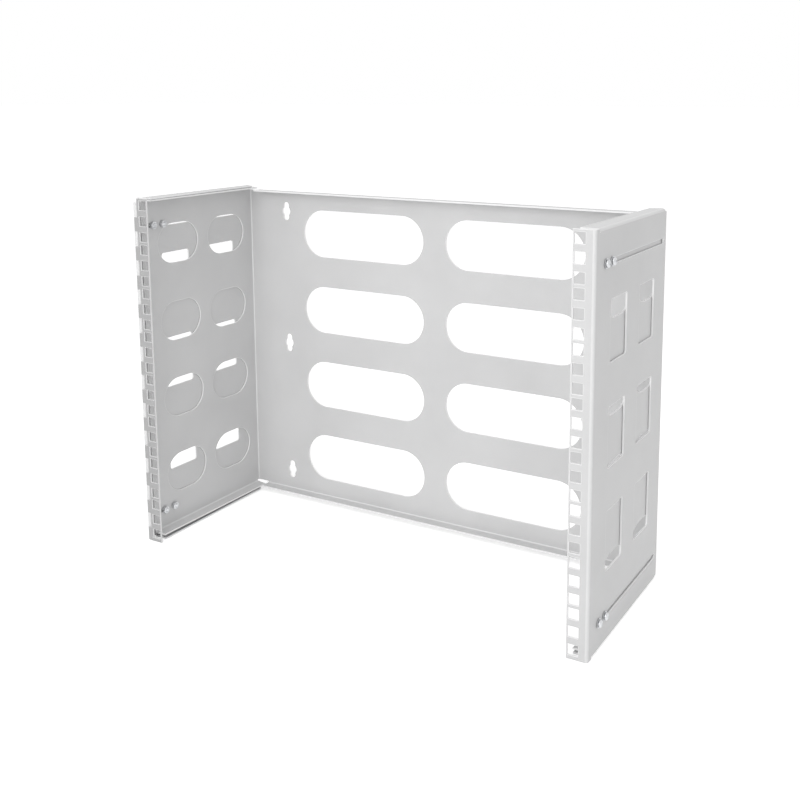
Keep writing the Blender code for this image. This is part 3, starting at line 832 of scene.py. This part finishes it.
def side_holes():
    """Windows, clamp slots and lock screw holes of an outer side."""
    windows_middle = SIDE_LENGTH - SIDE_WINDOW_FRONT - (SIDE_WINDOW[0] + SIDE_WINDOW_PITCH[0]) / 2
    middle = (windows_middle, UNITS_MIDDLE + SIDE_WINDOW_RISE)
    opening = window(*SIDE_WINDOW, SIDE_WINDOW_CORNER, SIDE_WINDOW_CORNER_STEPS)
    rings = punched([opening], middle, SIDE_WINDOW_GRID, SIDE_WINDOW_PITCH)
    slot_front = SIDE_LENGTH - CLAMP_FROM_FRONT + SCREW_HOLE
    slot_length = slot_front - TRAVEL_SLOT_REAR_GAP
    slot = obround(slot_length, 2 * SCREW_HOLE, HOLE_ROUND // 2)
    lock_hole = circle(0, 0, SCREW_HOLE, HOLE_ROUND)
    middles = (slot_front - slot_length / 2, SIDE_LENGTH - LOCK_FROM_FRONT)
    for outline, x in zip((slot, lock_hole), middles):
        rings += punched([outline], (x, SCREW_ROWS_MIDDLE), (1, 2), (0, SCREW_ROW_PITCH))
    return rings


def rail_holes(column):
    """Square holes of one rail: three to a unit, stepped up by units."""
    size = (SQUARE_HOLE, SQUARE_HOLE, SQUARE_CORNER, SQUARE_CORNER_STEPS)
    unit = [window(*size, step) for step in HOLE_STEPS]
    lowest = RAIL_START + (UNITS - 1) * RACK_UNIT / 2
    return punched(unit, (column, lowest), (1, UNITS), (0, RACK_UNIT))


def fold_side_lips(bm):
    """Folds the bottom and top lips of an outer side inwards."""
    reach = (-SIDE_LENGTH, SIDE_LENGTH - SIDE_LIP_SETBACK + LIP_RELIEF / 2)
    square_fold(bm, (0, SETBACK), (0, -1), reach)
    square_fold(bm, (0, OUTER_HEIGHT - SETBACK), (0, 1), reach)


def side_place(sign):
    """Place of an outer side's blank, whose z points into the rack."""
    return axes((sign * OUTER_HALF, WALL - SHEET, 0), (0, -1, 0), (0, 0, 1), (-sign, 0, 0))


print(len(side_holes()), "holes in a side and", len(rail_holes(0)), "in a rail")

# %% Fold the right side with its rail


def build_right_side():
    """Right outer side, folded in one piece with its rack rail."""
    start = SIDE_LENGTH - SETBACK
    flange = start + FOLD_ZONE - SETBACK
    tip = flange + RAIL_WIDTH
    column = flange + OUTER_HALF - HOLE_COLUMN
    bm = blank(side_outline([(tip, 0), (tip, OUTER_HEIGHT)]), side_holes() + rail_holes(column))
    fold_side_lips(bm)
    square_fold(bm, (start, 0), (1, 0))
    place = side_place(1)
    piece("right_side_panel", bm, coat, "right_side_body", ["right_side"], place)


build_right_side()

# %% [markdown]
# The left rail swings on a long hinge. Every second tooth on the front edge of the side, and the
# teeth between them on the edge of the rail, are rolled round one wire. Rolling is the same
# fold as before, only tighter and three quarters of a turn long.

# %% The long hinge
PIN_RADIUS = 0.0008
PIN_GAP = 0.0003
KNUCKLES = 24
KNUCKLE_GAP = 0.0003
KNUCKLE_ROOT_GAP = 0.0004
HINGE_TOP_STOP = 0.0039
HINGE_BOTTOM_STOP = 0.0002
ROLL_ANGLE = radians(270)
ROLL_RADIUS = PIN_RADIUS + PIN_GAP
BARREL_RADIUS = ROLL_RADIUS + SHEET
KNUCKLE_ROOT = 2 * BARREL_RADIUS + KNUCKLE_ROOT_GAP
ROLL_LENGTH = ROLL_ANGLE * (ROLL_RADIUS + SHEET / 2)
HINGE_HEIGHT = OUTER_HEIGHT - HINGE_TOP_STOP - HINGE_BOTTOM_STOP
KNUCKLE_PITCH = HINGE_HEIGHT / KNUCKLES
HINGE_X = BARREL_RADIUS - OUTER_HALF
HINGE_Y = FRONT + BARREL_RADIUS


def knuckle_edge(root, tip, first):
    """Edge that runs up the hinge, with a tooth for every second knuckle."""
    points = [(root, 0)]
    for i in range(first, KNUCKLES, 2):
        low = HINGE_BOTTOM_STOP + KNUCKLE_PITCH * i + KNUCKLE_GAP / 2
        high = low + KNUCKLE_PITCH - KNUCKLE_GAP
        points += [(root, low), (tip, low), (tip, high), (root, high)]
    points.append((root, OUTER_HEIGHT))
    return points


def roll_knuckles(bm, start):
    """Rolls the teeth past a line into knuckles."""
    fold(bm, (start, 0), (1, 0), ROLL_ANGLE, ROLL_RADIUS, ROLL_STEPS)


print(f"{KNUCKLES} knuckles of {1000 * KNUCKLE_PITCH:.1f} mm, {2000 * BARREL_RADIUS:.1f} mm thick")

# %% Roll the left side and the left rail


def build_left_side():
    """Left outer side with its knuckles."""
    start = SIDE_LENGTH - BARREL_RADIUS
    edge = knuckle_edge(SIDE_LENGTH - KNUCKLE_ROOT, start + ROLL_LENGTH, 1)
    bm = blank(side_outline(edge), side_holes())
    fold_side_lips(bm)
    roll_knuckles(bm, start)
    place = side_place(-1)
    piece("left_side_panel", bm, coat, "left_side_body", ["left_side"], place)


def build_left_rail():
    """Left rack rail with the knuckles between."""
    start = RAIL_WIDTH - BARREL_RADIUS
    edge = knuckle_edge(RAIL_WIDTH - KNUCKLE_ROOT, start + ROLL_LENGTH, 0)
    bm = blank([(0, 0)] + edge + [(0, OUTER_HEIGHT)], rail_holes(HOLE_COLUMN - CLEAR_HALF))
    roll_knuckles(bm, start)
    place = axes((-CLEAR_HALF, FRONT, 0), (-1, 0, 0), (0, 0, 1), (0, 1, 0))
    piece("left_rail_strip", bm, rail_coat, "left_rail_body", ["left_rail"], place)


build_left_side()
build_left_rail()

# %% [markdown]
# The pin is a length of wire with its ends tumbled round. It is turned: a few rings on one axis,
# joined by quads, with a small cap at each end.

# %% The hinge pin
ROUND = 32
DOME_STEPS = 6
DOME_HEIGHT = PIN_RADIUS / 2


def ring_at(bm, radius, z, steps=ROUND):
    """Ring of points about the Z axis."""
    return [bm.verts.new((x, y, z)) for x, y in circle(0, 0, radius, steps)]


def capped_skin(bm, rings):
    """Skin over rings with a flat cap at both ends."""
    skin(bm, rings)
    bm.faces.new(rings[0])
    bm.faces.new(rings[-1])


def build_pin():
    """Wire pin with domed ends."""
    bm = bmesh.new()
    low = HINGE_BOTTOM_STOP
    high = HINGE_BOTTOM_STOP + HINGE_HEIGHT
    angles = [pi / 2 * (i + 1) / DOME_STEPS for i in range(DOME_STEPS)]
    dome = [(PIN_RADIUS * sin(a), DOME_HEIGHT * (1 - cos(a))) for a in angles]
    rings = [ring_at(bm, radius, low + rise) for radius, rise in dome]
    rings += [ring_at(bm, radius, high - rise) for radius, rise in reversed(dome)]
    capped_skin(bm, rings)
    place = Matrix.Translation((HINGE_X, HINGE_Y, 0))
    piece("hinge_wire", bm, wire_steel, "left_side_body", ["hinge_pin"], place)


build_pin()

# %% [markdown]
# Each side is held by four small screws with washers and nuts. The pan heads carry a cross recess
# that tapers inwards, cut with a Boolean, and the thread is a ring of points whose radius
# follows a helix, which reads as a thread without modelling every flank by hand.

# %% One screw
SHANK_RADIUS = 0.002
HEAD_RADIUS = 0.0035
HEAD_HEIGHT = 0.0024
HEAD_RIM = 0.0008
HEAD_EASE = 0.00015
HEAD_STEPS = 8
SCREW_LENGTH = 0.009
THREAD_PITCH = 0.0007
THREAD_DEPTH = 0.00035
THREAD_ROWS = 8
RECESS_MOUTH = (0.004, 0.001)
RECESS_BOTTOM = (0.0014, 0.0005)
RECESS_DEPTH = 0.0014


def thread_radius(z, angle):
    """Radius of the shank at a height and an angle: a tooth that climbs one pitch a turn."""
    phase = (z / THREAD_PITCH - angle / (2 * pi)) % 1
    return SHANK_RADIUS - THREAD_DEPTH * abs(2 * phase - 1)


def thread_ring(bm, z, cut_back):
    """Ring of the thread at a height, cut back towards the tip of the screw."""
    ring = []
    for i in range(ROUND):
        a = 2 * pi * i / ROUND
        radius = thread_radius(z, a) - cut_back
        ring.append(bm.verts.new((radius * cos(a), radius * sin(a), z)))
    return ring


def screw_body():
    """Pan head and threaded shank, with z = 0 at the underside of the head."""
    bm = bmesh.new()
    rings = []
    crown = HEAD_HEIGHT - HEAD_RIM
    for i in range(1, HEAD_STEPS + 1):
        a = pi / 2 * i / HEAD_STEPS
        rings.append(ring_at(bm, HEAD_RADIUS * sin(a), HEAD_RIM + crown * cos(a)))
    rings.append(ring_at(bm, HEAD_RADIUS, HEAD_EASE))
    rings.append(ring_at(bm, HEAD_RADIUS - HEAD_EASE, 0))
    rings.append(ring_at(bm, SHANK_RADIUS - THREAD_DEPTH / 2, 0))
    rows = round(SCREW_LENGTH / THREAD_PITCH * THREAD_ROWS)
    for row in range(1, rows):
        taper = min(1, (rows - row) / THREAD_ROWS)
        rings.append(thread_ring(bm, -SCREW_LENGTH * row / rows, THREAD_DEPTH * (1 - taper)))
    rings.append(ring_at(bm, SHANK_RADIUS - 2 * THREAD_DEPTH, -SCREW_LENGTH))
    capped_skin(bm, rings)
    bmesh.ops.recalc_face_normals(bm, faces=bm.faces)
    return bm


def recess_arm(turn):
    """One tapered arm of the cross recess, turned about the screw's axis."""
    bm = bmesh.new()
    bmesh.ops.create_cube(bm, size=1)
    for vert in bm.verts:
        deep = vert.co.z < 0
        vert.co.x *= RECESS_BOTTOM[0] if deep else RECESS_MOUTH[0]
        vert.co.y *= RECESS_BOTTOM[1] if deep else RECESS_MOUTH[1]
        vert.co.z = HEAD_HEIGHT - (RECESS_DEPTH if deep else -RECESS_DEPTH)
    bm.transform(Matrix.Rotation(turn, 4, "Z"))
    return link_object("recess", mesh_from(bm, "recess"))


def screw_template():
    """Finished screw as a template for the tree that places screws."""
    template = link_object("screw", mesh_from(screw_body(), "screw"))
    arms = [recess_arm(0), recess_arm(pi / 2)]
    for arm in arms:
        cut = template.modifiers.new("recess", "BOOLEAN")
        cut.object = arm
    cut_mesh = evaluated_mesh(template)
    for spent in arms + [template]:
        bpy.data.objects.remove(spent)
    return link_object("screw", cut_mesh)


screw = screw_template()
print("a screw has", len(screw.data.polygons), "faces")

# %% [markdown]
# A hexagon nut is a six-sided bar turned off at a slant, so the corners are rounded by a cone.
# The same cone can be written straight into the rings: the further a corner stands out, the
# sooner it ends. A washer is a closed loop of rings, with its rims eased.

# %% One nut and one washer
NUT_ACROSS_FLATS = 0.007
NUT_FACE_RADIUS = 0.00333
NUT_HEIGHT = 0.0032
NUT_CHAMFER = 0.00025
NUT_BORE = 0.0021
NUT_CONE = radians(30)
WASHER_RADIUS = 0.0042
WASHER_THICKNESS = 0.0008
WASHER_EASE = 0.00012
NUT_STEPS = 48


def hexagon_radius(angle):
    """Distance from the middle of a hexagon to its side at an angle."""
    from_flat = (angle + pi / 6) % (pi / 3) - pi / 6
    return NUT_ACROSS_FLATS / 2 / cos(from_flat)


def nut_ring(bm, top):
    """Ring where the cone at one end of the nut cuts the hexagon."""
    ring = []
    for i in range(NUT_STEPS):
        a = 2 * pi * i / NUT_STEPS
        radius = hexagon_radius(a)
        drop = (radius - NUT_FACE_RADIUS) * tan(NUT_CONE)
        z = -drop if top else drop - NUT_HEIGHT
        ring.append(bm.verts.new((radius * cos(a), radius * sin(a), z)))
    return ring


def loop_template(name, rings, bm):
    """Closed ring-shaped body as a template."""
    skin(bm, rings, closed=True)
    bmesh.ops.recalc_face_normals(bm, faces=bm.faces)
    return link_object(name, mesh_from(bm, name))


def nut_template():
    """Nut that hangs below z = 0, the face that bears on the sheet."""
    bm = bmesh.new()
    wide = NUT_BORE + NUT_CHAMFER
    profile = [(wide, -NUT_HEIGHT), (NUT_BORE, NUT_CHAMFER - NUT_HEIGHT), (NUT_BORE, -NUT_CHAMFER)]
    profile += [(wide, 0), (NUT_FACE_RADIUS, 0)]
    rings = [ring_at(bm, radius, z, NUT_STEPS) for radius, z in profile]
    rings += [nut_ring(bm, True), nut_ring(bm, False)]
    rings.append(ring_at(bm, NUT_FACE_RADIUS, -NUT_HEIGHT, NUT_STEPS))
    return loop_template("nut", rings, bm)


def washer_template():
    """Washer whose z = 0 face lies on the sheet."""
    bm = bmesh.new()
    inner = SCREW_HOLE + WASHER_EASE
    outer = WASHER_RADIUS - WASHER_EASE
    top = WASHER_THICKNESS - WASHER_EASE
    profile = [(SCREW_HOLE, WASHER_EASE), (inner, 0), (outer, 0), (WASHER_RADIUS, WASHER_EASE)]
    profile += [(WASHER_RADIUS, top), (outer, WASHER_THICKNESS), (inner, WASHER_THICKNESS)]
    profile.append((SCREW_HOLE, top))
    rings = [ring_at(bm, radius, z, NUT_STEPS) for radius, z in profile]
    return loop_template("washer", rings, bm)


nut = nut_template()
washer = washer_template()
print("a nut has", len(nut.data.polygons), "faces and a washer", len(washer.data.polygons))

# %% [markdown]
# Every fastener sits on a point of a seat mesh. The point knows which way is out of the rack and
# how far the screw was turned when it was tightened, as two attributes. The tree stands a copy of
# the template on each point, turned to suit, so one screw serves for all eight.

# %% A tree that stands fasteners on their seats


def fastener_tree():
    """Tree that stands one fastener on each seat point."""
    tree, given, end = new_tree("fastener_seats", {
        "Fastener": "NodeSocketObject",
        "Finish": "NodeSocketMaterial",
    })
    named = "GeometryNodeInputNamedAttribute"
    outward = add_node(tree, named, {"data_type": "FLOAT_VECTOR"}, Name="outward")
    turned = add_node(tree, named, {"data_type": "FLOAT"}, Name="turned")
    facing = add_node(tree, "FunctionNodeAlignRotationToVector", {"axis": "Z"}, Vector=outward)
    spin = add_node(tree, "FunctionNodeAxisAngleToRotation", Axis=(0, 0, 1), Angle=turned)
    both = add_node(tree, "FunctionNodeRotateRotation", {"rotation_space": "LOCAL"},
                    Rotation=facing, Rotate_By=spin)
    shape = add_node(tree, "GeometryNodeObjectInfo", output="Geometry", Object=given["Fastener"])
    copies = add_node(tree, "GeometryNodeInstanceOnPoints", Points=given["Geometry"],
                      Instance=shape, Rotation=both)
    finish_tree(tree, copies, given["Finish"], end)
    return tree


FASTENER_SEATS = fastener_tree()
print("fastener tree has", len(FASTENER_SEATS.nodes), "nodes")

# %% Place the fasteners
SEAT_GAP = 0.0003
SCREW_TURNS = {
    ("clamp", "bottom"): radians(20),
    ("clamp", "top"): radians(65),
    ("lock", "bottom"): radians(50),
    ("lock", "top"): radians(8),
}
SEATS = {
    "screw": OUTER_HALF + 2 * SEAT_GAP + WASHER_THICKNESS,
    "washer": OUTER_HALF + SEAT_GAP,
    "nut": FRAME_HALF - SHEET - SEAT_GAP,
}
FROM_FRONT = {"clamp": CLAMP_FROM_FRONT, "lock": LOCK_FROM_FRONT}
SIDE_NAMES = {1: "right", -1: "left"}


def seat_mesh(kind, part, signs):
    """Points where fasteners of one kind sit, with their direction and their turn."""
    places = [(sign, row) for sign in signs for row in SCREW_ROWS]
    depth = FRONT + FROM_FRONT[kind]
    points = [(sign * SEATS[part], depth, SCREW_ROWS[row]) for sign, row in places]
    mesh = bpy.data.meshes.new("seats")
    mesh.from_pydata(points, [], [])
    mesh.attributes.new("outward", "FLOAT_VECTOR", "POINT")
    mesh.attributes.new("turned", "FLOAT", "POINT")
    for i, (sign, row) in enumerate(places):
        mesh.attributes["outward"].data[i].vector = (sign, 0, 0)
        mesh.attributes["turned"].data[i].value = SCREW_TURNS[kind, row]
    return mesh


def place_fasteners(kind, body, signs):
    """Screws, washers and nuts of one kind on one body."""
    label = kind if len(signs) > 1 else f"{SIDE_NAMES[signs[0]]}_{kind}"
    for part, template in (("screw", screw), ("washer", washer), ("nut", nut)):
        seats = seat_mesh(kind, part, signs)
        mesh = grown(FASTENER_SEATS, "seats", seats, Fastener=template, Finish=zinc)
        nodes = [f"{kind}_{part}_{SIDE_NAMES[sign]}_{row}" for sign in signs for row in SCREW_ROWS]
        piece(f"{label}_{part}s", mesh, zinc, body, nodes)


place_fasteners("clamp", "frame_body", (-1, 1))
place_fasteners("lock", "left_side_body", (-1,))
place_fasteners("lock", "right_side_body", (1,))
for template in (screw, washer, nut):
    bpy.data.objects.remove(template)

# %% [markdown]
# The rack was photographed on white, in soft light from in front and above. A large key lamp
# stands high before the rack, a weaker one near the floor lifts the low parts, and one overhead
# draws out the upper edges. The world shows white to the camera and to reflections, and lights
# the rack more gently than it looks, so that the greys come out about as they are written. The
# floor is a plain pale sheet whose own glow is for the camera and for reflections alone, so it
# joins the backdrop without a line and still keeps the rack's shadow.

# %% Floor, world and lamps
WORLD_LIGHT = 0.66
FLOOR_GLOW = 0.41
FLOOR_SIZE = 30
FLOOR_DROP = 0.0002
FLOOR_DARK = (0.93, 0.93, 0.93)
FLOOR_LIGHT = (0.95, 0.95, 0.95)
FLOOR_ROUGHNESS = 0.9
FLOOR_SPECK = {"scale": 40, "detail": 2}
LAMPS = {
    "key": {"place": (0.2, -1.9, 1.2), "size": 1.4, "power": 13.0},
    "fill": {"place": (0.1, -1.9, 0.1), "size": 1.0, "power": 4.5},
    "top": {"place": (0.1, -0.6, 2.2), "size": 1.2, "power": 6.0},
}


def seen_rays(tree):
    """One for rays that see the backdrop, straight or in a reflection, and nought for the light."""
    path = tree.nodes.new("ShaderNodeLightPath")
    seen = Wire(tree, path.outputs["Is Camera Ray"])
    for kind in ("Is Glossy Ray", "Is Transmission Ray"):
        seen = seen.maths("MAXIMUM", seen, Wire(tree, path.outputs[kind]))
    return seen


def pale_floor():
    """Plain floor that the rack stands on."""
    bm = bmesh.new()
    bmesh.ops.create_grid(bm, x_segments=1, y_segments=1, size=FLOOR_SIZE)
    mesh = mesh_from(bm, "floor")
    floor = link_object("floor", mesh)
    floor.location.z = -FLOOR_DROP
    finish = Finish("pale_floor")
    speck = finish.noise(object_place(finish), **FLOOR_SPECK)
    finish.wire("Base Color", finish.blend(speck, FLOOR_DARK, FLOOR_LIGHT))
    finish.wire("Roughness", FLOOR_ROUGHNESS)
    finish.wire("Emission Color", seen_rays(finish.tree) * FLOOR_GLOW)
    finish.wire("Emission Strength", 1.0)
    mesh.materials.append(finish.material)


def studio_world():
    """World that looks white and lights softly."""
    world = bpy.data.worlds.new("studio")
    world.use_nodes = True
    tree = world.node_tree
    background = tree.nodes["Background"]
    feed(background.inputs["Color"], (1, 1, 1, 1))
    feed(background.inputs["Strength"], seen_rays(tree) * (1 - WORLD_LIGHT) + WORLD_LIGHT)
    bpy.context.scene.world = world


def soft_lamp(name, place, size, power):
    """Large soft lamp that looks at the middle of the rack."""
    data = bpy.data.lights.new(name, "AREA")
    data.shape = "SQUARE"
    data.size = size
    data.energy = power
    lamp = link_object(name, data)
    lamp.location = place
    lamp.visible_camera = False
    aim = Vector((0, 0, UNITS_MIDDLE)) - Vector(place)
    lamp.rotation_euler = aim.to_track_quat("-Z", "Y").to_euler()


pale_floor()
studio_world()
for name, lamp in LAMPS.items():
    soft_lamp(name, **lamp)
print("lamps:", ", ".join(LAMPS))

# %% [markdown]
# The camera stood to the right of the rack, a little above its top, and looked to the left and
# slightly down. Its place, its turn and its lens were fitted to the rows of rack holes and to the
# long edges of the sheets. Part of the framing is lens shift, which keeps the upright edges of
# the rack nearly parallel.

# %% Camera
CAMERA_PLACE = Vector((0.53173, -0.82385, 0.4627))
CAMERA_YAW = radians(-28.954)
CAMERA_PITCH = radians(-8.605)
CAMERA_ROLL = radians(0.017)
CAMERA_LENS = 46.343
CAMERA_SENSOR = 36
CAMERA_SHIFT = (-0.0725, -0.19)


def studio_camera():
    """Camera at the photograph's place and angle."""
    data = bpy.data.cameras.new("camera")
    data.sensor_width = CAMERA_SENSOR
    data.lens = CAMERA_LENS
    data.shift_x, data.shift_y = CAMERA_SHIFT
    forward = Vector((sin(CAMERA_YAW), cos(CAMERA_YAW), tan(CAMERA_PITCH))).normalized()
    level = Vector((cos(CAMERA_YAW), -sin(CAMERA_YAW), 0))
    rise = level.cross(forward)
    right = level * cos(CAMERA_ROLL) + rise * sin(CAMERA_ROLL)
    up = rise * cos(CAMERA_ROLL) - level * sin(CAMERA_ROLL)
    camera = link_object("camera", data)
    camera.matrix_world = axes(CAMERA_PLACE, right, up, -forward)
    bpy.context.scene.camera = camera
    return camera


camera = studio_camera()
bpy.context.scene.view_settings.view_transform = "Standard"
distance = (camera.location - Vector((0, 0, UNITS_MIDDLE))).length
print(f"lens {CAMERA_LENS} mm, {distance:.2f} m away")
